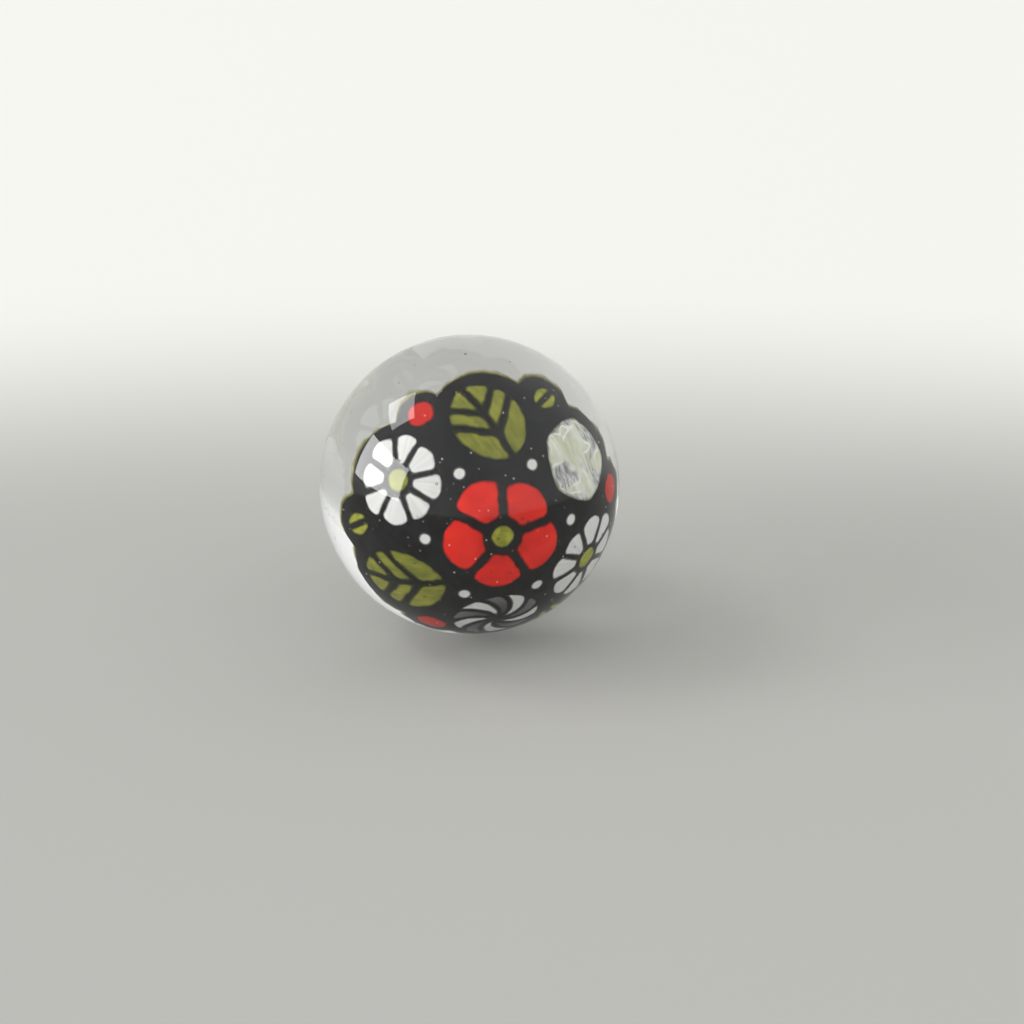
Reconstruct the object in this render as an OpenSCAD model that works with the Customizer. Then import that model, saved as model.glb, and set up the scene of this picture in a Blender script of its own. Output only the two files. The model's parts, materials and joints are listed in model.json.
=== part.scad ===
// Glass marble: a clear ball that encases a curved sheet of cane slices.
// Millimetres. The ball's centre is the origin, +Z is up, and the sheet faces -Y.
// Each slice is cut square from its cane, so its pattern runs through the whole thickness.

/* [Ball] */
// Diameter of the clear ball
ball_d = 35; // [32:0.5:40]
// Depth of clear glass over the slices
casing_t = 3.4; // [2.8:0.1:3.8]

/* [Sheet of slices] */
// Thickness of every slice
slice_t = 1; // [0.8:0.1:1.4]
// Black glass between two slices that touch, at their inner face
seam_w = 0.2; // [0.1:0.05:0.4]
// Black glass outside the outermost slices
coat_w = 0.8; // [0.5:0.1:1.1]
// Bearing of the first daisy, from +X towards +Z
first_bearing = 152; // [0:2:358]

/* [Poppy] */
// Diameter over the petals
poppy_d = 12.8; // [12:0.2:13.6]
// Number of petals
poppy_petal_count = 5; // [4:1:7]
// Radius of a petal's round end
poppy_round_r = 3.3; // [2.9:0.1:3.8]
// Black glass between the petals and round the heart
poppy_gap = 0.6; // [0.4:0.05:0.9]
// Diameter of the heart
poppy_heart_d = 2.6; // [2:0.1:3.2]
// Turn of the flower in its place
poppy_turn = 12; // [0:2:72]

/* [Daisies] */
// Diameter over the petals
daisy_d = 9.8; // [9:0.2:10.2]
// Number of petals
daisy_petal_count = 8; // [6:1:11]
// Radius of a petal's round end
daisy_round_r = 1.9; // [1.6:0.05:2.2]
// Black glass between the petals and round the heart
daisy_gap = 0.35; // [0.2:0.05:0.5]
// Diameter of the heart
daisy_heart_d = 2.6; // [2.2:0.1:3]

/* [Leaves] */
// Length of a leaf
leaf_l = 9.6; // [8.8:0.2:10]
// Width of a leaf
leaf_w = 7.8; // [6.8:0.2:8.4]
// Width of a vein
vein_w = 0.35; // [0.25:0.05:0.5]
// Distance from one side vein to the next
vein_step = 2.6; // [2.2:0.1:3]
// Distance of the first pair of side veins behind the leaf's middle
first_vein = 1.9; // [1.4:0.1:2.4]
// Angle of the side veins to the midrib
vein_angle = 48; // [38:1:58]
// Length of a small leaf
leaflet_l = 3.8; // [3.2:0.1:4.2]
// Width of a small leaf
leaflet_w = 2.5; // [2:0.1:3]

/* [Pebble and pinwheel] */
// Diameter over the corners of the opal pebble
pebble_d = 9; // [8:0.2:9.6]
// Number of its corners
pebble_corners = 5; // [4:1:7]
// Diameter over the pinwheel
pinwheel_d = 8.6; // [8:0.2:9.4]
// Number of arms in the pinwheel, dark and white together
pinwheel_arms = 10; // [8:2:12]
// Black glass between two arms
pinwheel_gap = 0.25; // [0.15:0.05:0.4]
// Diameter of the black glass where the arms meet
pinwheel_hub_d = 1.2; // [1:0.1:2]

/* [Berries and seeds] */
// Diameter over the corners of a berry
berry_d = 3.3; // [2.8:0.1:3.6]
// Number of its corners
berry_corners = 6; // [4:1:8]
// Diameter of a seed
seed_d = 1.5; // [1:0.1:1.7]

/* [Hidden] */
ball_r = ball_d / 2;
outer_r = ball_r - casing_t;
inner_r = outer_r - slice_t;
poppy_r = poppy_d / 2;
daisy_r = daisy_d / 2;
leaf_r = leaf_l / 2;
pebble_r = pebble_d / 2;
pinwheel_r = pinwheel_d / 2;
berry_r = berry_d / 2;
leaflet_r = leaflet_l / 2;
seed_r = seed_d / 2;

// Radii of the slices that ring the poppy, clockwise: daisy, leaf, pebble, daisy, pinwheel, leaf
ring_r = [daisy_r, leaf_r, pebble_r, daisy_r, pinwheel_r, leaf_r];
ring_count = len(ring_r);
// Widest angle that the ring can stand off the poppy on a small ball, and steps to find it
widest_off = 30;
halvings = 12;
// Turn of each leaf from the line off the poppy
leaf_1_turn = 24;
leaf_2_turn = -18;
leaflet_turn = 30;
// Length that a rod and the outline stand past the faces of the sheet
spare = 0.5;
rod_start = sqrt(pow(inner_r, 2) - pow(max(poppy_r, max(ring_r)), 2)) - spare;
rod_end = outer_r + spare;
// Petals of a hand-made cane differ by this share of their reach and of their step,
// in a rhythm that does not repeat round the flower
uneven_reach = 0.06;
uneven_step = 0.07;
reach_rhythm = 223;
step_rhythm = 137;
// Radius of a pressed side, as a multiple of the radius to its corners
side_bow = 1.6;
// Radius of the arcs between the pinwheel's arms
arm_bow = 0.64 * pinwheel_r;
// Points round the sheet's outline, and the length of the cone through them
outline_points = 180;
cone_reach = 3 * outer_r;
$fn = 96;

// ---- Places on the sheet: unit vectors from the ball's centre, with +Z through the poppy ----

function degrees_of(arc, r) = arc / r * 180 / PI;
function total(list) = list * [for (x = list) 1];
// Angle at the ball's centre that a slice of radius r covers
function cover(r) = asin(r / inner_r);
// Angle between the axes of two slices that touch, with the seam between them
function apart(a, b) = cover(a) + cover(b) + degrees_of(seam_w, inner_r);
// Unit vector a polar angle off the poppy, on a bearing
function heading(polar, bearing) =
    [sin(polar) * cos(bearing), sin(polar) * sin(bearing), cos(polar)];
function polar_of(at) = acos(at.z);
function bearing_of(at) = atan2(at.y, at.x);
// Unit vector at angle a from p and at angle b from q, on the left of the way from p to q
function beside(p, a, q, b) =
    let (
        c = p * q,
        s2 = 1 - c * c,
        u = (cos(a) - c * cos(b)) / s2,
        v = (cos(b) - c * cos(a)) / s2,
        w = sqrt((1 - u * u - v * v - 2 * u * v * c) / s2)
    )
    u * p + v * q + w * cross(p, q);

// Polar angle of a ring slice that stands a further angle off the poppy than where they touch
function ring_polar(i, off) = apart(poppy_r, ring_r[i % ring_count]) + off;
// Bearing from a ring slice to the next where the two touch
function touch_turn(i, off) =
    let (
        p = ring_polar(i, off),
        q = ring_polar(i + 1, off),
        between = apart(ring_r[i], ring_r[(i + 1) % ring_count])
    )
    acos((cos(between) - cos(p) * cos(q)) / (sin(p) * sin(q)));
function touch_turns(off) = [for (i = [0 : ring_count - 1]) touch_turn(i, off)];
// Least angle off the poppy at which the ring closes without an overlap, found by halving
function stand_off(low, high, tries) =
    let (middle = (low + high) / 2)
    tries == 0 ? high
        : total(touch_turns(middle)) > 360 ? stand_off(middle, high, tries - 1)
        : stand_off(low, middle, tries - 1);

// The ring: its slices touch the poppy where they fit so, and the bearing left over is shared out
ring_off = total(touch_turns(0)) > 360 ? stand_off(0, widest_off, halvings) : 0;
turns = touch_turns(ring_off);
spare_turn = (360 - total(turns)) / ring_count;
function ring_bearing(i) =
    i == 0 ? first_bearing : ring_bearing(i - 1) - turns[i - 1] - spare_turn;
ring_at = [for (i = [0 : ring_count - 1]) heading(ring_polar(i, ring_off), ring_bearing(i))];

poppy_at = [0, 0, 1];
daisy_1_at = ring_at[0];
leaf_1_at = ring_at[1];
pebble_at = ring_at[2];
daisy_2_at = ring_at[3];
pinwheel_at = ring_at[4];
leaf_2_at = ring_at[5];

// A small slice of radius r outside the ring, against slices i and i + 1
function in_notch(i, r) =
    let (j = (i + 1) % ring_count)
    beside(ring_at[i], apart(ring_r[i], r), ring_at[j], apart(ring_r[j], r));
berry_at = [for (i = [0 : 2 : ring_count - 1]) in_notch(i, berry_r)];
leaflet_at = [for (i = [1 : 2 : ring_count - 1]) in_notch(i, leaflet_r)];

// A seed against the poppy, between slices i and i + 1 of the ring
seed_at = [
    for (i = [0 : ring_count - 1])
        heading(apart(poppy_r, seed_r), ring_bearing(i) - (turns[i] + spare_turn) / 2)
];

// Axis and radius of every slice that can lie at the edge of the sheet
edge_slices = concat(
    [[poppy_at, poppy_r]],
    [for (i = [0 : ring_count - 1]) [ring_at[i], ring_r[i]]],
    [for (at = berry_at) [at, berry_r]],
    [for (at = leaflet_at) [at, leaflet_r]]
);

// ---- The sheet and its outline ----

// Polar angle at which a bearing leaves a slice's black coat, or 0 where it misses the coat
function coat_edge(at, r, bearing) =
    let (
        edge = cover(r) + degrees_of(coat_w, inner_r),
        along = sin(polar_of(at)) * cos(bearing - bearing_of(at)),
        reach = norm([at.z, along])
    )
    cos(edge) > reach ? 0 : atan2(along, at.z) + acos(cos(edge) / reach);
function sheet_edge(bearing) = max([for (s = edge_slices) coat_edge(s[0], s[1], bearing)]);

module shell() {
    difference() {
        sphere(r = outer_r);
        sphere(r = inner_r);
    }
}

// A many-sided cone from the ball's centre out through the scalloped outline of the sheet,
// closed by a pointed cap well outside the sheet
module outline_cone() {
    rim = [
        for (i = [0 : outline_points - 1])
            let (bearing = 360 * i / outline_points)
            cone_reach * heading(sheet_edge(bearing), bearing)
    ];
    sides = [for (i = [0 : outline_points - 1]) [0, i + 2, (i + 1) % outline_points + 2]];
    cap = [for (i = [0 : outline_points - 1]) [1, (i + 1) % outline_points + 2, i + 2]];
    polyhedron(points = concat([[0, 0, 0], [0, 0, cone_reach]], rim), faces = concat(sides, cap));
}

module sheet() {
    intersection() {
        shell();
        outline_cone();
    }
}

// A flat pattern drawn out along its cane's axis, with its own +X pointing off the poppy
module rod(at, turn = 0) {
    rotate([0, polar_of(at), bearing_of(at)])
        rotate(turn)
            translate([0, 0, rod_start])
                linear_extrude(height = rod_end - rod_start)
                    children();
}

// ---- Flat patterns ----

// The sector between two angles, with half a gap taken off each side
module sector(from, to, reach, gap) {
    half = (to - from) / 2;
    rotate(from + half)
        translate([gap / 2 / sin(half), 0])
            polygon([[0, 0], reach * [cos(half), -sin(half)], reach * [1, 0] / cos(half),
                     reach * [cos(half), sin(half)]]);
}

// The petals of a flower: round rods pressed side by side round the heart
module petals(count, r, round_r, heart_r, gap) {
    step = 360 / count;
    difference() {
        for (i = [0 : count - 1]) {
            from = step * (i + uneven_step * sin(step_rhythm * i));
            to = step * (i + 1 + uneven_step * sin(step_rhythm * ((i + 1) % count)));
            reach = r * (1 - uneven_reach * (1 + cos(reach_rhythm * i)) / 2);
            intersection() {
                rotate((from + to) / 2)
                    translate([reach - round_r, 0])
                        circle(r = round_r);
                sector(from, to, 2 * r, gap);
            }
        }
        circle(r = heart_r + gap);
    }
}

// A round cane pressed by its neighbours into soft corners
module pressed(r, corners) {
    bow = side_bow * r;
    back = sqrt(bow * bow - pow(r * sin(180 / corners), 2)) - r * cos(180 / corners);
    intersection_for (i = [0 : corners - 1])
        rotate(360 * i / corners)
            translate([-back, 0])
                circle(r = bow);
}

// The pointed outline of a leaf, along X
module almond(l, w) {
    bow = (l * l + w * w) / (4 * w);
    intersection() {
        translate([0, w / 2 - bow]) circle(r = bow);
        translate([0, bow - w / 2]) circle(r = bow);
    }
}

// A thin black line from a point on the midrib, at an angle to it
module vein(at, angle, l) {
    translate([at, 0])
        rotate(angle)
            translate([0, -vein_w / 2])
                square([l, vein_w]);
}

module leaf_blade() {
    difference() {
        almond(leaf_l, leaf_w);
        vein(-leaf_l, 0, 2 * leaf_l);
        for (side = [-1, 1], i = [0, 1])
            vein(vein_step * i - first_vein, side * vein_angle, leaf_w);
    }
}

module leaflet_blade() {
    difference() {
        almond(leaflet_l, leaflet_w);
        vein(-leaflet_l, 0, 2 * leaflet_l);
    }
}

// Every second arm of the pinwheel: what lies between one arc through its middle and the next
module pinwheel_blades(first) {
    step = 360 / pinwheel_arms;
    for (i = [first : 2 : pinwheel_arms - 1])
        difference() {
            intersection() {
                circle(r = pinwheel_r);
                rotate(step * i) translate([arm_bow, 0]) circle(r = arm_bow - pinwheel_gap / 2);
            }
            rotate(step * (i + 1)) translate([arm_bow, 0]) circle(r = arm_bow + pinwheel_gap / 2);
            circle(d = pinwheel_hub_d);
        }
}

// ---- Rods ----

module poppy_petal_rods() {
    rod(poppy_at, poppy_turn)
        petals(poppy_petal_count, poppy_r, poppy_round_r, poppy_heart_d / 2, poppy_gap);
}

module poppy_heart_rod() {
    rod(poppy_at) circle(d = poppy_heart_d);
}

module daisy_petal_rods(at) {
    rod(at) petals(daisy_petal_count, daisy_r, daisy_round_r, daisy_heart_d / 2, daisy_gap);
}

module daisy_heart_rod(at) {
    rod(at) circle(d = daisy_heart_d);
}

module leaf_rods(at, turn) {
    rod(at, turn) leaf_blade();
}

module pebble_rod() {
    rod(pebble_at) pressed(pebble_r, pebble_corners);
}

module berry_rod(i) {
    rod(berry_at[i]) pressed(berry_r, berry_corners);
}

module leaflet_rods(i) {
    rod(leaflet_at[i], leaflet_turn * (i - 1)) leaflet_blade();
}

module seed_rod(i) {
    rod(seed_at[i]) circle(d = seed_d);
}

module pinwheel_rods(first) {
    rod(pinwheel_at) pinwheel_blades(first);
}

// ---- Pieces, turned so that the poppy faces -Y ----

module facing_front() {
    rotate([90, 0, 0]) children();
}

module slice() {
    facing_front()
        intersection() {
            shell();
            children();
        }
}

module clear_glass() {
    color("white", 0.18)
        difference() {
            sphere(r = ball_r);
            facing_front() sheet();
        }
}

module black_ground() {
    color("#1c1b1c")
        facing_front()
            difference() {
                sheet();
                poppy_petal_rods();
                poppy_heart_rod();
                daisy_petal_rods(daisy_1_at);
                daisy_heart_rod(daisy_1_at);
                daisy_petal_rods(daisy_2_at);
                daisy_heart_rod(daisy_2_at);
                leaf_rods(leaf_1_at, leaf_1_turn);
                leaf_rods(leaf_2_at, leaf_2_turn);
                pebble_rod();
                pinwheel_rods(0);
                pinwheel_rods(1);
                for (i = [0 : len(berry_at) - 1]) berry_rod(i);
                for (i = [0 : len(leaflet_at) - 1]) leaflet_rods(i);
                for (i = [0 : len(seed_at) - 1]) seed_rod(i);
            }
}

module poppy_petals() {
    color("#d2352c") slice() poppy_petal_rods();
}

module poppy_heart() {
    color("#8e9430") slice() poppy_heart_rod();
}

module daisy_petals(at) {
    color("#f4f3ef") slice() daisy_petal_rods(at);
}

module daisy_heart(at) {
    color("#8e9430") slice() daisy_heart_rod(at);
}

module leaf(at, turn) {
    color("#767a35") slice() leaf_rods(at, turn);
}

module opal_pebble() {
    color("#ccd3b6") slice() pebble_rod();
}

module pinwheel_smoke() {
    color("#5f5c5e") slice() pinwheel_rods(0);
}

module pinwheel_white() {
    color("#e9e8e4") slice() pinwheel_rods(1);
}

module berry(i) {
    color("#d2352c") slice() berry_rod(i);
}

module leaflet(i) {
    color("#8e9430") slice() leaflet_rods(i);
}

module seed(i) {
    color("#f4f3ef") slice() seed_rod(i);
}

clear_glass();
black_ground();
poppy_petals();
poppy_heart();
daisy_petals(daisy_1_at);  // daisy_1_petals
daisy_heart(daisy_1_at);  // daisy_1_heart
daisy_petals(daisy_2_at);  // daisy_2_petals
daisy_heart(daisy_2_at);  // daisy_2_heart
leaf(leaf_1_at, leaf_1_turn);  // leaf_1
leaf(leaf_2_at, leaf_2_turn);  // leaf_2
opal_pebble();
pinwheel_smoke();
pinwheel_white();
for (i = [1 : 3]) berry(i - 1);
for (i = [1 : 3]) leaflet(i - 1);
for (i = [1 : ring_count]) seed(i - 1);
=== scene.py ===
"""Glass marble: the finish of a clear ball and of the millefiori slices sealed in it."""
import json
import math
import random

import bpy
from mathutils import Matrix, Vector, noise


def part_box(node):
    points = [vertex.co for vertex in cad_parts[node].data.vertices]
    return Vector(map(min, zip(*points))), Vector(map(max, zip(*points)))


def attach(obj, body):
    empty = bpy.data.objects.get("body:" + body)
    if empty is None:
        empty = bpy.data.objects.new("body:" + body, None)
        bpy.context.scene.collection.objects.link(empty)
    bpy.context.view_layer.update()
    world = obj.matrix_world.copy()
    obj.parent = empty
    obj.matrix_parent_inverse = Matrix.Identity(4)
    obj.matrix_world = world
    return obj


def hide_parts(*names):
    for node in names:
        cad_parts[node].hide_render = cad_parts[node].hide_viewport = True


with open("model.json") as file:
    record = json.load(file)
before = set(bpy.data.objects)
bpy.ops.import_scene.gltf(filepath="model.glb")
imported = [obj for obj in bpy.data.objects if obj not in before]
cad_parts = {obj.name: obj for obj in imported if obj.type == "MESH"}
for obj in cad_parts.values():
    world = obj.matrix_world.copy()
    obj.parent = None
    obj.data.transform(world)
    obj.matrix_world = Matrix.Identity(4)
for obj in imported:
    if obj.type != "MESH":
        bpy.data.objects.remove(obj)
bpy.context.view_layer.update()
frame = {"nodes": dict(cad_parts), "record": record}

MM = 0.001
NODES = frame["nodes"]

# ---- Sizes, worked out from the frame ----

ball_low, ball_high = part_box("clear_glass")
BALL_R = (ball_high.z - ball_low.z) / 2
SHEET_R = max(v.co.length for v in NODES["poppy_petals"].data.vertices)
SHEET_INNER_R = min(v.co.length for v in NODES["poppy_petals"].data.vertices)
# The middle of the sheet faces -Y, so its own axes are right, up and out of the front
SHEET_AXES = Matrix(((1, 0, 0), (0, 0, 1), (0, -1, 0)))

# ---- Small tools ----


def linear(hex_colour):
    """An sRGB hex colour as linear RGBA."""
    parts = [int(hex_colour[i:i + 2], 16) / 255 for i in (0, 2, 4)]
    return [c / 12.92 if c <= 0.04045 else ((c + 0.055) / 1.055) ** 2.4 for c in parts] + [1]


def add_node(tree, kind, inputs=None, **settings):
    """Adds a shader node. inputs holds values, or sockets to link, by the input's name or number.

    Inputs that share a name go by number. A Mix takes its share at 0, two values at 2 and 3, and
    two colours at 6 and 7, and gives the mixed colour at output 2.
    """
    made = tree.nodes.new("ShaderNode" + kind)
    for name, value in settings.items():
        setattr(made, name, value)
    for key, value in (inputs or {}).items():
        if isinstance(value, bpy.types.NodeSocket):
            tree.links.new(value, made.inputs[key])
        else:
            made.inputs[key].default_value = value
    return made


def new_material(name):
    """A node material without nodes, and its tree."""
    made = bpy.data.materials.new(name)
    made.use_nodes = True
    made.node_tree.nodes.clear()
    return made, made.node_tree


def on_sphere(polar, bearing, r):
    """A point at radius r: polar angle off the sheet's middle, bearing from +X towards +Z."""
    across = math.sin(polar)
    flat = Vector((across * math.cos(bearing), across * math.sin(bearing), math.cos(polar)))
    return SHEET_AXES.transposed() @ flat * r


# ---- Stage ----

FLOOR_SIDE = 4.0
# The render's side in pixels, and in the same pixels the focal length, the ball's width and its middle
PIXELS = 1024
FOCAL_PIXELS = 2900
BALL_PIXELS = 300
BALL_AT_PIXEL = (469.5, 484.5)
CAMERA_AZIMUTH = math.radians(-15)
CAMERA_ELEVATION = math.radians(24)
# The width of the camera's sensor, in the millimetres that its lens is given in
SENSOR = 36
# The paper is light grey round a point in front of the ball, and near white further off
GREY_MIDDLE = 300 * MM
GREY_R = 320 * MM
PALE_R = 430 * MM
# The dome is brightest to the left and right of the camera
FRONT_LEVEL = 0.8
SIDE_LEVEL = 2.1
# Far enough off for the panels to light the floor evenly
PANEL_DISTANCE = 8.0


def make_camera():
    """The camera looks down at the ball from its front left, and has it left of and above the middle."""
    back = Vector((
        math.sin(CAMERA_AZIMUTH) * math.cos(CAMERA_ELEVATION),
        -math.cos(CAMERA_AZIMUTH) * math.cos(CAMERA_ELEVATION),
        math.sin(CAMERA_ELEVATION),
    ))
    turn = (-back).to_track_quat("-Z", "Y")
    off_x = (BALL_AT_PIXEL[0] - PIXELS / 2) / FOCAL_PIXELS
    off_y = (PIXELS / 2 - BALL_AT_PIXEL[1]) / FOCAL_PIXELS
    towards_ball = (turn @ Vector((off_x, off_y, -1))).normalized()
    distance = 2 * BALL_R * FOCAL_PIXELS / BALL_PIXELS
    bpy.ops.object.camera_add(location=-towards_ball * distance, rotation=turn.to_euler())
    camera = bpy.context.object
    camera.data.sensor_width = SENSOR
    camera.data.lens = FOCAL_PIXELS / PIXELS * SENSOR
    camera.data.clip_start = MM
    bpy.context.scene.camera = camera
    return turn


def add_panel(name, turn, direction, width_degrees, height_degrees, radiance):
    """A soft rectangular panel. direction is in camera axes: right, up and towards the camera."""
    way = (turn @ Vector(direction)).normalized()
    bpy.ops.object.light_add(
        type="AREA", location=way * PANEL_DISTANCE, rotation=way.to_track_quat("Z", "Y").to_euler()
    )
    lamp = bpy.context.object
    lamp.name = name
    lamp.data.shape = "RECTANGLE"
    lamp.data.size = 2 * PANEL_DISTANCE * math.tan(math.radians(width_degrees / 2))
    lamp.data.size_y = 2 * PANEL_DISTANCE * math.tan(math.radians(height_degrees / 2))
    lamp.data.energy = radiance * math.pi * lamp.data.size * lamp.data.size_y
    lamp.visible_camera = False


def make_world(turn):
    """A pale dome, softly brighter at both sides.

    It stops at white where it is seen, mirrored or looked at through clear glass.
    """
    world = bpy.data.worlds.new("pale_dome")
    bpy.context.scene.world = world
    world.use_nodes = True
    tree = world.node_tree
    tree.nodes.clear()
    way = add_node(tree, "TexCoord")
    sideways = add_node(tree, "VectorMath", {
        0: way.outputs["Generated"], 1: turn @ Vector((1, 0, 0)),
    }, operation="DOT_PRODUCT").outputs["Value"]
    squared = add_node(tree, "Math", {0: sideways, 1: sideways}, operation="MULTIPLY")
    level = add_node(tree, "MapRange", {
        "Value": squared.outputs[0], "To Min": FRONT_LEVEL, "To Max": SIDE_LEVEL,
    })
    ray = add_node(tree, "LightPath")
    clear = add_node(tree, "Math", {
        0: ray.outputs["Is Glossy Ray"], 1: ray.outputs["Is Transmission Ray"],
    }, operation="ADD")
    # The depth is 0 until the ray has met a matt surface, and 1 or more from there on
    unlit = add_node(tree, "Math", {0: ray.outputs["Diffuse Depth"], 1: 0.5}, operation="LESS_THAN")
    backdrop = add_node(tree, "Math", {
        0: clear.outputs[0], 1: unlit.outputs[0], 2: ray.outputs["Is Camera Ray"],
    }, operation="MULTIPLY_ADD", use_clamp=True)
    white = add_node(tree, "Math", {0: level.outputs[0], 1: 1.0}, operation="MINIMUM")
    strength = add_node(tree, "Mix", {
        0: backdrop.outputs[0], 2: level.outputs[0], 3: white.outputs[0],
    }, data_type="FLOAT")
    light = add_node(tree, "Background", {"Color": linear("fdfdfb"), "Strength": strength.outputs[0]})
    add_node(tree, "OutputWorld", {"Surface": light.outputs[0]})


def pale_studio_paper():
    """Uncoated graduated paper: no shine, light grey that fades to near white."""
    made, tree = new_material("pale_studio_paper")
    place = add_node(tree, "TexCoord")
    from_middle = add_node(tree, "VectorMath", {
        0: place.outputs["Object"],
        1: (-GREY_MIDDLE * math.sin(CAMERA_AZIMUTH), GREY_MIDDLE * math.cos(CAMERA_AZIMUTH), 0),
    }, operation="ADD")
    away = add_node(tree, "VectorMath", {0: from_middle.outputs[0]}, operation="LENGTH")
    fade = add_node(tree, "MapRange", {
        "Value": away.outputs["Value"], "From Min": GREY_R, "From Max": PALE_R,
    }, interpolation_type="SMOOTHERSTEP")
    colour = add_node(tree, "Mix", {
        0: fade.outputs[0], 6: linear("9f9f9c"), 7: linear("cfcfcc"),
    }, data_type="RGBA")
    skin = add_node(tree, "BsdfPrincipled", {
        "Base Color": colour.outputs[2], "Roughness": 1.0, "Specular IOR Level": 0.0,
    })
    add_node(tree, "OutputMaterial", {"Surface": skin.outputs[0]})
    return made


def make_floor():
    """The paper that the ball rests on."""
    bpy.ops.mesh.primitive_plane_add(size=FLOOR_SIDE, location=(0, 0, -BALL_R))
    floor = bpy.context.object
    floor.name = "floor"
    floor.data.materials.append(pale_studio_paper())


turn_of_camera = make_camera()
make_world(turn_of_camera)
make_floor()
add_panel(
    "upper_panel", turn_of_camera, direction=(-0.66, 0.72, 0.15),
    width_degrees=22, height_degrees=17, radiance=5.5,
)
add_panel(
    "side_panel", turn_of_camera, direction=(-0.93, 0.15, 0.31),
    width_degrees=45, height_degrees=25, radiance=8.5,
)

# ---- What the slices' finishes share ----

# A slice counts as long, as a leaf is, from this difference between its spread along and across
LEAF_SPREAD = 0.1
# A slice's edge is dark where a look round inside the glass meets a side wall within this many
# times the edge's width. A noise makes it waver, and it fades out over this range of their sum
EDGE_LOOK = 2.4
EDGE_WAVERS_PER_MM = 0.9
EDGE_WAVER = 0.45
EDGE_FADE = (0.88, 1.10)
# Each cell of the specks' pattern draws a number from 0 to 1. From this number up it has a speck,
# and the highest gives the biggest, whose radius is in cells
SPECK_CELLS_PER_MM = 1.3
SPECK_FROM = 0.4
SPECK_R = 0.15


def slice_axes(name):
    """The turn from the object's axes to a slice's own.

    +Z is out along its cane, and +X is along a leaf, or upwards on a slice that isn't long.
    """
    points = [v.co for v in NODES[name].data.vertices]
    out = sum(points, Vector()).normalized()
    side = out.orthogonal().normalized()
    up = out.cross(side)
    xx = sum(p.dot(side) ** 2 for p in points)
    yy = sum(p.dot(up) ** 2 for p in points)
    xy = sum(p.dot(side) * p.dot(up) for p in points)
    if math.hypot(xx - yy, 2 * xy) > LEAF_SPREAD * (xx + yy):
        turn = math.atan2(2 * xy, xx - yy) / 2
        along = side * math.cos(turn) + up * math.sin(turn)
    else:
        along = (Vector((0, 0, 1)) - out * out.z).normalized()
    return Matrix((along, out.cross(along), out))


def slice_millimetres(tree, axes):
    """A slice's own coordinates in millimetres, from its cane's axis."""
    place = add_node(tree, "TexCoord")
    turned = add_node(tree, "Mapping", {
        "Vector": place.outputs["Object"],
        "Rotation": axes.to_euler(),
        "Scale": (1 / MM, 1 / MM, 1 / MM),
    })
    return turned.outputs["Vector"]


def across_slice(tree, place):
    """The way from the slice's axis to a point, square to the axis."""
    flat = add_node(tree, "VectorMath", {0: place, 1: (1, 1, 0)}, operation="MULTIPLY")
    return flat.outputs[0]


def from_axis(tree, place):
    """How far a point is from the slice's axis."""
    away = add_node(tree, "VectorMath", {0: across_slice(tree, place)}, operation="LENGTH")
    return away.outputs["Value"]


def drawn_edge(tree, place, colour, edge_hex, width):
    """A slice's glass ends in a soft, wavering dark edge, width millimetres in from its side walls."""
    inside = add_node(tree, "AmbientOcclusion", {
        "Distance": EDGE_LOOK * width * MM,
    }, samples=8, inside=True, only_local=True)
    waver = add_node(tree, "TexNoise", {"Vector": place, "Scale": EDGE_WAVERS_PER_MM, "Detail": 2.0})
    shifted = add_node(tree, "Math", {
        0: waver.outputs["Fac"], 1: EDGE_WAVER, 2: inside.outputs["AO"],
    }, operation="MULTIPLY_ADD")
    near = add_node(tree, "MapRange", {
        "Value": shifted.outputs[0], "From Min": EDGE_FADE[0], "From Max": EDGE_FADE[1],
        "To Min": 1.0, "To Max": 0.0,
    }, interpolation_type="SMOOTHSTEP")
    mixed = add_node(tree, "Mix", {
        0: near.outputs[0], 6: colour, 7: linear(edge_hex),
    }, data_type="RGBA")
    return mixed.outputs[2]


def glints_and_grains(tree, place, colour, speck_hex):
    """Pale specks up to a quarter of a millimetre across: grains caught on the slices, and painted
    glints of tiny bubbles.
    """
    grains = add_node(tree, "TexVoronoi", {"Vector": place, "Scale": SPECK_CELLS_PER_MM}, feature="F1")
    number = add_node(tree, "SeparateColor", {0: grains.outputs["Color"]})
    reach = add_node(tree, "MapRange", {
        "Value": number.outputs[0], "From Min": SPECK_FROM, "From Max": 1.0,
        "To Min": 0.0, "To Max": SPECK_R,
    })
    hit = add_node(tree, "Math", {
        0: grains.outputs["Distance"], 1: reach.outputs[0],
    }, operation="LESS_THAN")
    mixed = add_node(tree, "Mix", {
        0: hit.outputs[0], 6: colour, 7: linear(speck_hex),
    }, data_type="RGBA")
    return mixed.outputs[2]


def fused_glass(tree, colour, relief):
    """Coloured glass that clear glass is fused over: no shine, only the relief of its cloudy face."""
    skin = add_node(tree, "BsdfPrincipled", {
        "Base Color": colour, "Roughness": 1.0, "Specular IOR Level": 0.0, "Normal": relief,
    })
    add_node(tree, "OutputMaterial", {"Surface": skin.outputs[0]})


def pressed_relief(tree, place, size, height):
    """The low swells that pressing left on a slice's face: size and height in millimetres."""
    swells = add_node(tree, "TexNoise", {"Vector": place, "Scale": 1 / size, "Detail": 1.0})
    face = add_node(tree, "Bump", {
        "Strength": 1.0, "Distance": height * MM, "Height": swells.outputs["Fac"],
    })
    return face.outputs[0]


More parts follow.
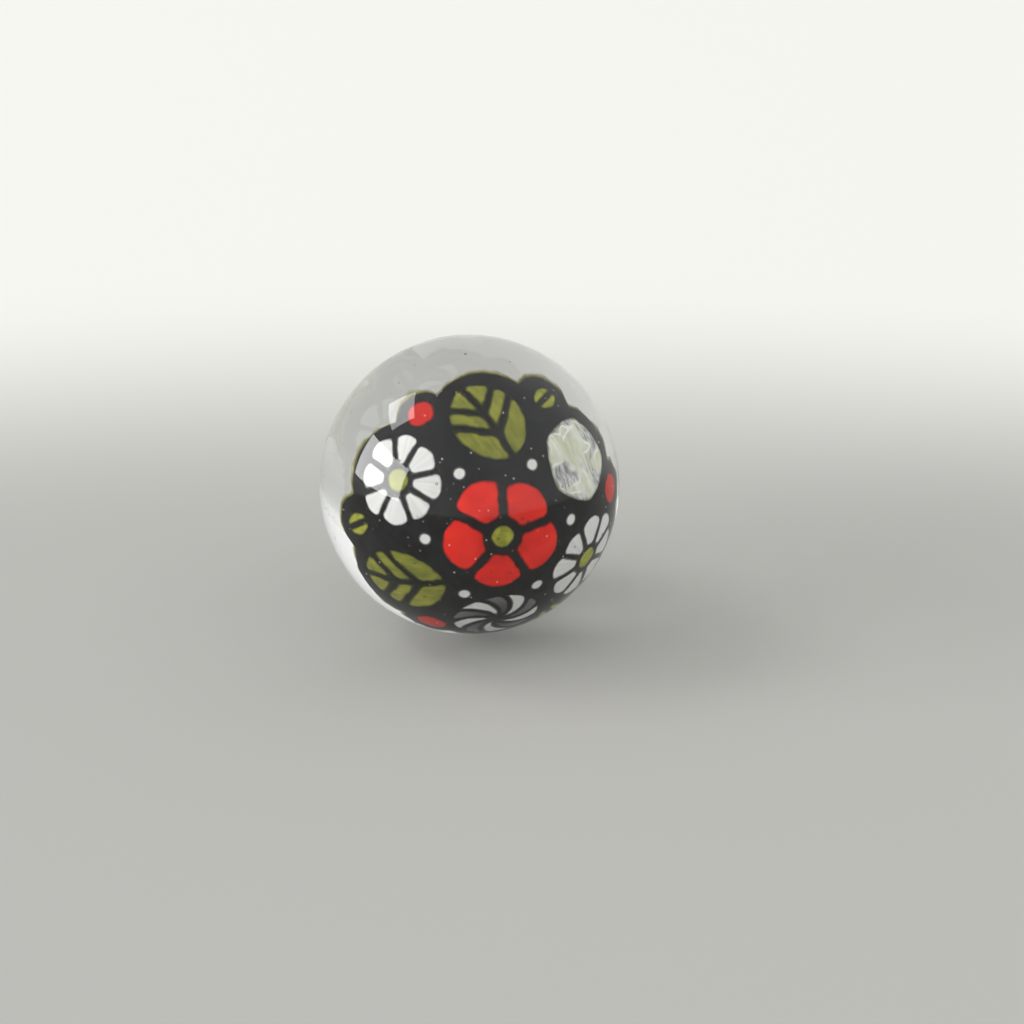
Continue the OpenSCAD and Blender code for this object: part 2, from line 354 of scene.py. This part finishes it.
def two_tones(tree, place, seed, low_hex, high_hex, size, stretch=(1, 1, 1), contrast=0.22):
    """Soft clouds of two tones, size in millimetres. A stretch under 1 draws them out along that axis.

    Where a finish lays one pattern over another, the second has a seed some tens higher.
    """
    drawn = add_node(tree, "VectorMath", {0: place, 1: stretch}, operation="MULTIPLY")
    cloud = add_node(tree, "TexNoise", {
        "Vector": drawn.outputs[0], "W": seed, "Scale": 1 / size, "Detail": 3.0, "Roughness": 0.55,
    }, noise_dimensions="4D")
    amount = add_node(tree, "MapRange", {
        "Value": cloud.outputs["Fac"], "From Min": 0.5 - contrast, "From Max": 0.5 + contrast,
    })
    mixed = add_node(tree, "Mix", {
        0: amount.outputs[0], 6: linear(low_hex), 7: linear(high_hex),
    }, data_type="RGBA")
    return mixed.outputs[2]


# ---- Finishes of the slices ----

# The red is darkest up to the first distance from the axis and plain from the second, and the
# smoke glass lightens from the first to the second, all in millimetres
RED_DEEP = (1.5, 3.6)
SMOKE_PALING = (0.8, 4.2)
# How much of its dark swirl colour the red has at the axis
RED_DEEPEST = 0.45
# The enamel's lines are a pattern on a circle of this many millimetres, so they run straight out
LINES_R = 8.0
# The share of the finer pattern where one lies over a broader one
OLIVE_FINE_SHARE = 0.35
BLACK_WISPS_SHARE = 0.4


def red_glass(name, seed):
    """Opaque selenium red: glowing, with darker swirls and a maroon edge."""
    made, tree = new_material(name + "_red_glass")
    place = slice_millimetres(tree, slice_axes(name))
    colour = two_tones(tree, place, seed, "ee2016", "ff3423", size=2.6)
    deep = add_node(tree, "MapRange", {
        "Value": from_axis(tree, place), "From Min": RED_DEEP[0], "From Max": RED_DEEP[1],
        "To Min": RED_DEEPEST, "To Max": 0.0,
    })
    deeper = add_node(tree, "Mix", {
        0: deep.outputs[0], 6: colour, 7: linear("8e1712"),
    }, data_type="RGBA")
    specked = glints_and_grains(tree, place, deeper.outputs[2], "ffbfae")
    edged = drawn_edge(tree, place, specked, "2c0b0a", width=0.22)
    fused_glass(tree, edged, pressed_relief(tree, place, size=2.0, height=0.5))
    return made


def white_glass(name, seed):
    """White enamel glass: fine grey lines out from the heart, where the cane was drawn."""
    made, tree = new_material(name + "_white_glass")
    place = slice_millimetres(tree, slice_axes(name))
    way = add_node(tree, "VectorMath", {0: across_slice(tree, place)}, operation="NORMALIZE")
    circle = add_node(tree, "VectorMath", {0: way.outputs[0], "Scale": LINES_R}, operation="SCALE")
    lines = two_tones(tree, circle.outputs[0], seed, "dfe0de", "fcfbf8", size=1.0, contrast=0.25)
    edged = drawn_edge(tree, place, lines, "3b3a3a", width=0.16)
    fused_glass(tree, edged, pressed_relief(tree, place, size=2.0, height=0.3))
    return made


def olive_glass(name, seed):
    """Translucent olive green: darker and lighter streaks along the leaf."""
    made, tree = new_material(name + "_olive_glass")
    place = slice_millimetres(tree, slice_axes(name))
    broad = two_tones(tree, place, seed, "626d2c", "a3a33c", size=3.0, stretch=(0.5, 1.0, 1))
    fine = two_tones(tree, place, seed + 40, "4c5626", "b7b24a", size=0.7, stretch=(0.25, 1.4, 1))
    both = add_node(tree, "Mix", {0: OLIVE_FINE_SHARE, 6: broad, 7: fine}, data_type="RGBA")
    edged = drawn_edge(tree, place, both.outputs[2], "23260f", width=0.24)
    fused_glass(tree, edged, pressed_relief(tree, place, size=1.5, height=0.6))
    return made


def moss_glass(name, seed):
    """Bright moss green glass: small soft clouds, and a dark green edge."""
    made, tree = new_material(name + "_moss_glass")
    place = slice_millimetres(tree, slice_axes(name))
    colour = two_tones(tree, place, seed, "7c8429", "b9b946", size=0.9)
    edged = drawn_edge(tree, place, colour, "23260f", width=0.18)
    fused_glass(tree, edged, pressed_relief(tree, place, size=1.0, height=0.3))
    return made


def smoke_glass(name, _seed):
    """Grey smoke glass: near black at the hub and lighter towards the rim."""
    made, tree = new_material(name + "_smoke_glass")
    place = slice_millimetres(tree, slice_axes(name))
    out = add_node(tree, "MapRange", {
        "Value": from_axis(tree, place), "From Min": SMOKE_PALING[0], "From Max": SMOKE_PALING[1],
    })
    colour = add_node(tree, "Mix", {
        0: out.outputs[0], 6: linear("3c3737"), 7: linear("7c7c7e"),
    }, data_type="RGBA")
    edged = drawn_edge(tree, place, colour.outputs[2], "1a1919", width=0.18)
    fused_glass(tree, edged, pressed_relief(tree, place, size=1.5, height=0.3))
    return made


def black_glass(name, seed):
    """Black glass: nearly without light, with faint purple brown and blue grey clouds and wisps."""
    made, tree = new_material(name + "_black_glass")
    place = slice_millimetres(tree, slice_axes(name))
    clouds = two_tones(tree, place, seed, "0a0608", "1c2124", size=2.4, contrast=0.15)
    wisps = two_tones(tree, place, seed + 10, "050505", "2b2729", size=0.8, stretch=(0.5, 1.3, 1))
    both = add_node(tree, "Mix", {0: BLACK_WISPS_SHARE, 6: clouds, 7: wisps}, data_type="RGBA")
    specked = glints_and_grains(tree, place, both.outputs[2], "c4c4be")
    fused_glass(tree, specked, pressed_relief(tree, place, size=3.0, height=0.5))
    return made


# ---- The opal slice ----

# Which of the noise's patterns the opal is folded in
OPAL_FOLDING = 35.8
# The folding bends the strokes and pleats, by up to so many millimetres along each axis
OPAL_BENDS_PER_MM = 0.3
OPAL_BENDING = (0.6, 2.4, 1.0)
OPAL_FINE_SHARE = 0.45
# The pleats are a noise from 0 to 1, and their relief is this high in all
PLEATS_PER_MM = 0.36
PLEAT_HEIGHT = 1.6 * MM
# Their low parts get painted shade and a painted silvery sheen, which fade out over this range
SHEEN_AND_SHADE_SHARE = 0.9
SHEEN_AND_SHADE_FADE = (0.41, 0.485)
# A painted highlight runs as a bright line where the painted sheen ends, and fades out over this range
# to either side of it. It shows in patches, which start over a range of their own noise
GLINT_AT = 0.49
GLINT_FADE = (0.008, 0.024)
PATCHES_PER_MM = 0.45
PATCH_FADE = (0.45, 0.55)


def opal_milk(tree, bent, seed):
    """Cream and pale green strokes, fine ones over broad ones."""
    broad = two_tones(
        tree, bent, seed, "d0d6b2", "fffff6", size=1.7, stretch=(0.4, 1.2, 1), contrast=0.13
    )
    fine = two_tones(
        tree, bent, seed + 20, "c4cca2", "ffffff", size=0.85, stretch=(0.18, 1.4, 1), contrast=0.16
    )
    return add_node(tree, "Mix", {0: OPAL_FINE_SHARE, 6: broad, 7: fine}, data_type="RGBA").outputs[2]


def opal_painted_glint(tree, place, pleats):
    """How much of the painted highlight, a bright line, there is at a point, from 0 to 1."""
    past_it = add_node(tree, "Math", {0: pleats, 1: GLINT_AT}, operation="SUBTRACT")
    off_it = add_node(tree, "Math", {0: past_it.outputs[0]}, operation="ABSOLUTE")
    line = add_node(tree, "MapRange", {
        "Value": off_it.outputs[0], "From Min": GLINT_FADE[0], "From Max": GLINT_FADE[1],
        "To Min": 1.0, "To Max": 0.0,
    }, interpolation_type="SMOOTHSTEP")
    patchy = add_node(tree, "TexNoise", {
        "Vector": place, "W": OPAL_FOLDING, "Scale": PATCHES_PER_MM, "Detail": 0.0,
    }, noise_dimensions="4D")
    patch = add_node(tree, "MapRange", {
        "Value": patchy.outputs["Fac"], "From Min": PATCH_FADE[0], "From Max": PATCH_FADE[1],
    }, interpolation_type="SMOOTHSTEP")
    shown = add_node(tree, "Math", {0: line.outputs[0], 1: patch.outputs[0]}, operation="MULTIPLY")
    return shown.outputs[0]


def opal_glass(name, seed):
    """Milky opal glass, folded as pressed: pale strokes, pleats with painted shade, silvery sheen and
    glints.
    """
    made, tree = new_material(name + "_opal_glass")
    place = slice_millimetres(tree, slice_axes(name))
    bends = add_node(tree, "TexNoise", {"Vector": place, "Scale": OPAL_BENDS_PER_MM, "Detail": 1.0})
    bent = add_node(tree, "VectorMath", {
        0: bends.outputs["Color"], 1: OPAL_BENDING, 2: place,
    }, operation="MULTIPLY_ADD").outputs[0]
    # Grey streaked with white: painted shade and a painted silvery sheen for the pleats' low parts
    sheen_and_shade = two_tones(
        tree, bent, seed + 30, "75777f", "f4f4f6", size=0.5, stretch=(0.35, 1.3, 1), contrast=0.13
    )
    pleats = add_node(tree, "TexNoise", {
        "Vector": bent, "W": OPAL_FOLDING, "Scale": PLEATS_PER_MM, "Detail": 1.2,
    }, noise_dimensions="4D").outputs["Fac"]
    sheen_and_shade_amount = add_node(tree, "MapRange", {
        "Value": pleats, "From Min": SHEEN_AND_SHADE_FADE[0], "From Max": SHEEN_AND_SHADE_FADE[1],
        "To Min": SHEEN_AND_SHADE_SHARE, "To Max": 0.0,
    }, interpolation_type="SMOOTHSTEP")
    with_sheen_and_shade = add_node(tree, "Mix", {
        0: sheen_and_shade_amount.outputs[0], 6: opal_milk(tree, bent, seed), 7: sheen_and_shade,
    }, data_type="RGBA")
    # A painted highlight: white along the pleats' edges
    glinted = add_node(tree, "Mix", {
        0: opal_painted_glint(tree, place, pleats), 6: with_sheen_and_shade.outputs[2], 7: linear("ffffff"),
    }, data_type="RGBA")
    edged = drawn_edge(tree, place, glinted.outputs[2], "4d5632", width=0.25)
    relief = add_node(tree, "Bump", {"Strength": 1.0, "Distance": PLEAT_HEIGHT, "Height": pleats})
    fused_glass(tree, edged, relief.outputs[0])
    return made


# Each makes the material of one node, from the node's name and a seed of its own
FINISHES = {
    "red_glass": red_glass,
    "white_glass": white_glass,
    "olive_glass": olive_glass,
    "moss_glass": moss_glass,
    "opal_glass": opal_glass,
    "smoke_glass": smoke_glass,
    "black_glass": black_glass,
}


def dress_slices():
    """Gives every piece of the sheet the finish that its slot in the record names."""
    for seed, part in enumerate(frame["record"]["subparts"]):
        name, slot = part["node"], part["material_slot"]
        if slot in FINISHES:
            NODES[name].data.materials.clear()
            NODES[name].data.materials.append(FINISHES[slot](name, seed))


dress_slices()

# ---- The black glass thins out at its outline ----

FRINGE_STEPS = 720
FRINGE_NARROW = 0.5 * MM
FRINGE_WIDE = 1.8 * MM
FRINGE_OVERLAP = 0.25 * MM
# The width goes up and down round this share of its range, by two noises: how much, and how often
RAGGED_MIDDLE = 0.5
RAGGED_WAVES = ((1.1, 3), (0.5, 11))
# The fringe is a wedge. It starts this far in from the sheet's faces, is this far in halfway out,
# and has a blunt tip
WEDGE_START = 0.03 * MM
WEDGE_HALFWAY = 0.22 * MM
WEDGE_TIP = 0.05 * MM
# The outline is looked for between these polar angles, step by step and then by halving the step
OUTLINE_SEARCH = (math.radians(50), math.radians(120))
OUTLINE_STEP = math.radians(1)
OUTLINE_HALVINGS = 8
# Streaks let the glass thin out sooner or later. How far it is drawn out, from 0 to 1, and the
# streaks' share add up, and over these ranges of the sum it turns green and fades out
STREAKS_PER_MM = 0.8
STREAK_SHARE = 0.8
GREEN_FADE = (0.5, 1.0)
CLEAR_FADE = (0.65, 1.35)


def outline_polar(bearing):
    """The polar angle at which the black ground ends, at one bearing."""
    ground = NODES["black_ground"]
    inner, outer = OUTLINE_SEARCH
    while outer > inner and not ground.ray_cast(Vector(), on_sphere(outer, bearing, 1))[0]:
        outer -= OUTLINE_STEP
    inside, outside = outer, outer + OUTLINE_STEP
    for _ in range(OUTLINE_HALVINGS):
        middle = (inside + outside) / 2
        if ground.ray_cast(Vector(), on_sphere(middle, bearing, 1))[0]:
            inside = middle
        else:
            outside = middle
    return inside


def feathered_black_glass():
    """Black glass drawn out to a feather edge: brown, yellow green, then clear, in uneven streaks."""
    made, tree = new_material("feathered_black_glass")
    drawn_out = add_node(tree, "Attribute", attribute_name="drawn_out")
    along = add_node(tree, "Attribute", attribute_name="round_edge")
    streaks = add_node(tree, "TexNoise", {
        "Vector": along.outputs["Vector"], "Scale": STREAKS_PER_MM, "Detail": 2.0,
    })
    thinned = add_node(tree, "Math", {
        0: streaks.outputs["Fac"], 1: STREAK_SHARE, 2: drawn_out.outputs["Fac"],
    }, operation="MULTIPLY_ADD")
    left = add_node(tree, "MapRange", {
        "Value": thinned.outputs[0], "From Min": CLEAR_FADE[0], "From Max": CLEAR_FADE[1],
        "To Min": 1.0, "To Max": 0.0,
    }, interpolation_type="SMOOTHSTEP")
    tint = add_node(tree, "MapRange", {
        "Value": thinned.outputs[0], "From Min": GREEN_FADE[0], "From Max": GREEN_FADE[1],
    })
    colour = add_node(tree, "Mix", {
        0: tint.outputs[0], 6: linear("0d0c0a"), 7: linear("a09a58"),
    }, data_type="RGBA")
    skin = add_node(tree, "BsdfPrincipled", {
        "Base Color": colour.outputs[2], "Alpha": left.outputs[0],
        "Roughness": 1.0, "Specular IOR Level": 0.0,
    })
    add_node(tree, "OutputMaterial", {"Surface": skin.outputs[0]})
    return made


def closed_band(name, rows):
    """A band of rows, each a ring a millimetre above the last, with the last joined to the first."""
    bpy.ops.object.select_all(action="DESELECT")
    bpy.ops.mesh.primitive_circle_add(vertices=FRINGE_STEPS, radius=SHEET_R)
    band = bpy.context.object
    band.name = name
    bpy.ops.object.mode_set(mode="EDIT")
    for _ in range(rows - 1):
        bpy.ops.mesh.extrude_region_move(TRANSFORM_OT_translate={"value": (0, 0, MM)})
    bpy.ops.object.mode_set(mode="OBJECT")
    for edge in band.data.edges:
        rows_of_edge = {round(band.data.vertices[v].co.z / MM) for v in edge.vertices}
        edge.select = rows_of_edge in ({0}, {rows - 1})
    bpy.ops.object.mode_set(mode="EDIT")
    bpy.ops.mesh.select_mode(type="EDGE")
    bpy.ops.mesh.bridge_edge_loops()
    bpy.ops.object.mode_set(mode="OBJECT")
    return band


def make_fringe():
    """A thin wedge of black glass all along the ground's outline."""
    middle_r = (SHEET_R + SHEET_INNER_R) / 2
    # Round the wedge: how far out of the wall it stands, from 0 to 1, and at which radius of the ball
    wedge = [
        (0.0, SHEET_R - WEDGE_START),
        (0.5, SHEET_R - WEDGE_HALFWAY),
        (1.0, middle_r),
        (0.9, middle_r - WEDGE_TIP),
        (0.5, SHEET_INNER_R + WEDGE_HALFWAY),
        (0.0, SHEET_INNER_R + WEDGE_START),
    ]
    fringe = closed_band("feathered_edge", len(wedge))
    drawn_out = fringe.data.attributes.new("drawn_out", "FLOAT", "POINT")
    round_edge = fringe.data.attributes.new("round_edge", "FLOAT_VECTOR", "POINT")
    reaches = {}
    for point in fringe.data.vertices:
        bearing = math.atan2(point.co.y, point.co.x)
        ring = Vector((math.cos(bearing), math.sin(bearing), 0))
        step = round(bearing / (2 * math.pi) * FRINGE_STEPS)
        if step not in reaches:
            waves = sum(height * noise.noise(ring * count) for height, count in RAGGED_WAVES)
            ragged = min(1, max(0, RAGGED_MIDDLE + waves))
            width = FRINGE_NARROW + (FRINGE_WIDE - FRINGE_NARROW) * ragged
            reaches[step] = outline_polar(bearing), width
        polar, width = reaches[step]
        out, r = wedge[round(point.co.z / MM)]
        past_outline = out * width if out else -FRINGE_OVERLAP
        point.co = on_sphere(polar + past_outline / SHEET_R, bearing, r)
        drawn_out.data[point.index].value = out
        round_edge.data[point.index].vector = ring * SHEET_R / MM
    bpy.ops.object.mode_set(mode="EDIT")
    bpy.ops.mesh.select_all(action="SELECT")
    bpy.ops.mesh.normals_make_consistent(inside=False)
    bpy.ops.object.mode_set(mode="OBJECT")
    bpy.ops.object.shade_smooth()
    fringe.data.materials.append(feathered_black_glass())
    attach(fringe, "root")


make_fringe()

# ---- Clear glass ----

BALL_SUBDIVISIONS = 7
BUBBLE_SUBDIVISIONS = 3
# The fire-polished skin has long waves, which are in the mesh, and a ripple in the material
WAVE_LENGTH = 12 * MM
WAVE_DEPTH = 0.03 * MM
RIPPLE_LENGTH = 3 * MM
RIPPLE_DEPTH = 0.004 * MM
TINT_DRIFT = 9 * MM
BUBBLE_SEED = 11
BUBBLE_COUNT = 90
# How far across they are, in millimetres
BUBBLE_SIZES = (0.12, 0.14, 0.16, 0.2, 0.24, 0.3)
# Their middles lie up to this far round from the sheet's middle, and this far clear of its face
# and of the ball's skin. A higher power keeps more of them low down
BUBBLES_ROUND = math.radians(100)
CLEAR_OF_SHEET = 0.2 * MM
CLEAR_OF_SKIN = 0.8 * MM
BUBBLES_LOW = 3


def clear_soda_glass():
    """Soda-lime glass, fire polished: a sharp bright skin with a faint ripple, and hardly any tint."""
    made, tree = new_material("clear_soda_glass")
    place = add_node(tree, "TexCoord").outputs["Object"]
    drift = add_node(tree, "TexNoise", {"Vector": place, "Scale": 1 / TINT_DRIFT, "Detail": 1.0})
    tint = add_node(tree, "Mix", {
        0: drift.outputs["Fac"], 6: linear("ffffff"), 7: linear("f8fbfa"),
    }, data_type="RGBA")
    ripple = add_node(tree, "TexNoise", {"Vector": place, "Scale": 1 / RIPPLE_LENGTH, "Detail": 0.0})
    rippled = add_node(tree, "Bump", {
        "Strength": 1.0, "Distance": RIPPLE_DEPTH, "Height": ripple.outputs["Fac"],
    })
    skin = add_node(tree, "BsdfPrincipled", {
        "Base Color": tint.outputs[2], "Roughness": 0.0, "IOR": 1.5, "Transmission Weight": 1.0,
        "Normal": rippled.outputs[0],
    })
    add_node(tree, "OutputMaterial", {"Surface": skin.outputs[0]})
    return made


def make_bubble():
    """One round bubble, a unit across. It is air in the glass, so its faces point inwards."""
    bpy.ops.object.select_all(action="DESELECT")
    bpy.ops.mesh.primitive_ico_sphere_add(subdivisions=BUBBLE_SUBDIVISIONS, radius=0.5)
    bubble = bpy.context.object
    bubble.name = "bubble"
    bpy.ops.object.mode_set(mode="EDIT")
    bpy.ops.mesh.flip_normals()
    bpy.ops.object.mode_set(mode="OBJECT")
    bpy.ops.object.shade_smooth()
    return bubble


def scatter_bubbles():
    """Tiny bubbles that were caught over the slices and in the clear glass, most of them low down."""
    pick = random.Random(BUBBLE_SEED)
    first = make_bubble()
    lowest = SHEET_R + CLEAR_OF_SHEET
    room = BALL_R - CLEAR_OF_SKIN - lowest
    made = []
    for _ in range(BUBBLE_COUNT):
        polar = math.acos(pick.uniform(math.cos(BUBBLES_ROUND), 1))
        r = lowest + room * pick.random() ** BUBBLES_LOW
        centre = on_sphere(polar, pick.uniform(0, 2 * math.pi), r)
        size = MM * pick.choice(BUBBLE_SIZES)
        copy = first.copy()
        copy.data = first.data.copy()
        copy.data.transform(Matrix.Translation(centre) @ Matrix.Scale(size, 4))
        bpy.context.collection.objects.link(copy)
        made.append(copy)
    bpy.data.objects.remove(first)
    return made


def make_ball():
    """The clear ball with its bubbles. Its fire-polished skin waves by hundredths of a millimetre."""
    bubbles = scatter_bubbles()
    bpy.ops.object.select_all(action="DESELECT")
    bpy.ops.mesh.primitive_ico_sphere_add(subdivisions=BALL_SUBDIVISIONS, radius=BALL_R)
    ball = bpy.context.object
    ball.name = "clear_ball"
    waves = bpy.data.textures.new("fire_polish", "CLOUDS")
    waves.noise_scale = WAVE_LENGTH
    polish = ball.modifiers.new("fire_polish", "DISPLACE")
    polish.texture = waves
    polish.texture_coords = "LOCAL"
    polish.strength = WAVE_DEPTH
    # With its middle at 1 it only goes inwards, so the skin stays within the ball's size
    polish.mid_level = 1
    bpy.ops.object.modifier_apply(modifier=polish.name)
    bpy.ops.object.shade_smooth()
    for bubble in bubbles:
        bubble.select_set(True)
    ball.select_set(True)
    bpy.context.view_layer.objects.active = ball
    bpy.ops.object.join()
    ball.data.materials.clear()
    ball.data.materials.append(clear_soda_glass())
    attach(ball, "root")
    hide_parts("clear_glass")


make_ball()

bpy.context.scene.view_settings.view_transform = "Standard"
